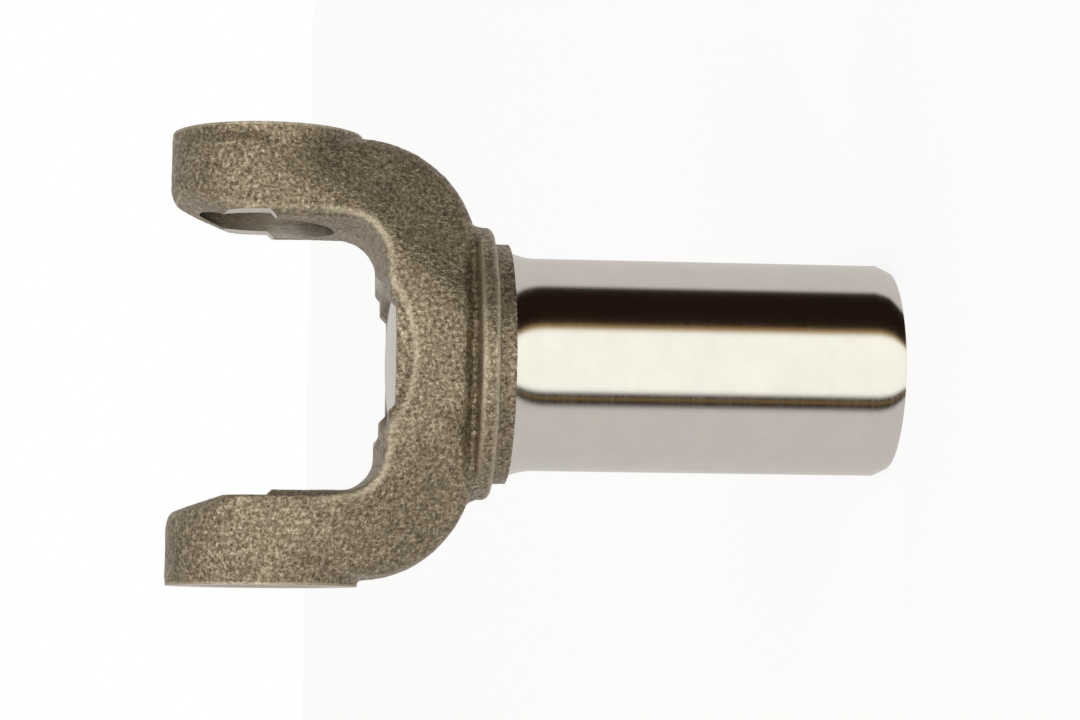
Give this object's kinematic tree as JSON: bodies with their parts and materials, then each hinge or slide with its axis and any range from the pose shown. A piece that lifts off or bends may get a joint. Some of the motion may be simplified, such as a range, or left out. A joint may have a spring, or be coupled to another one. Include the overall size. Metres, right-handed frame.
{
  "type": "slip yoke",
  "caption": "Forged propeller-shaft slip yoke: eared fork with a cross bore, ground barrel with an internal spline, and a domed expansion plug in the throat.",
  "frame": {"origin": "centre of the barrel's flat open end, on the shaft's axis", "axes": "+Z along the shaft's axis from the open end towards the fork, +X along the cross bore through both ears, +Y square to the forging's parting plane"},
  "size_m": [0.1008, 0.0616, 0.1629],
  "materials": {
    "forged_steel": "dark brown forging scale on the fork, collar and ring; ears bored and milled bright; barrel ground and polished",
    "plug_steel": "smooth bright rolled sheet steel"
  },
  "bodies": {
    "root": {"slip_yoke": "forged_steel", "expansion_plug": "plug_steel"}
  },
  "joints": []
}
